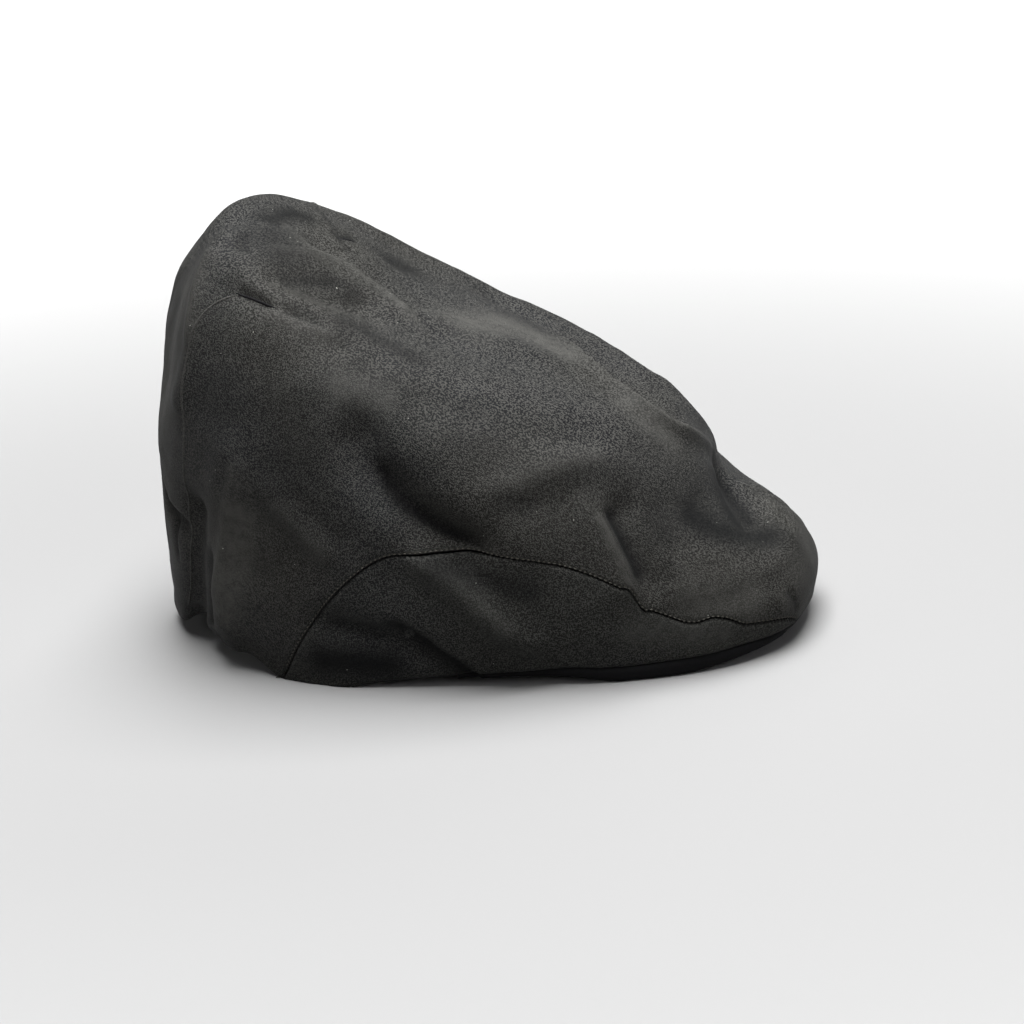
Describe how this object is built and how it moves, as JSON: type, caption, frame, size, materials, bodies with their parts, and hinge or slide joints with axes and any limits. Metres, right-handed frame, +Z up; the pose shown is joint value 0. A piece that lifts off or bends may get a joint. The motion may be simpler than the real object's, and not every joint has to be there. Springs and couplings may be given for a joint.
{
  "type": "waxed flat cap",
  "caption": "Soft flat cap of waxed cotton: a one-piece crown with a dart at each back corner, a shaped band on each side and a stiff curved peak with a dark edge.",
  "frame": {"origin": "middle of the cap's footprint on the surface that it rests on", "axes": "+X to the front, out of the peak; +Y to the wearer's left; +Z up, out of the crown's top"},
  "size_m": [0.25, 0.176, 0.1605],
  "materials": {
    "waxed_cotton": "dark olive charcoal waxed cotton, matt with a soft sheen and rubbed paler folds",
    "peak_cloth": "plain black cotton"
  },
  "bodies": {
    "root": {"crown": "waxed_cotton", "side_band_right": "waxed_cotton", "side_band_left": "waxed_cotton", "peak": "peak_cloth"}
  },
  "joints": []
}
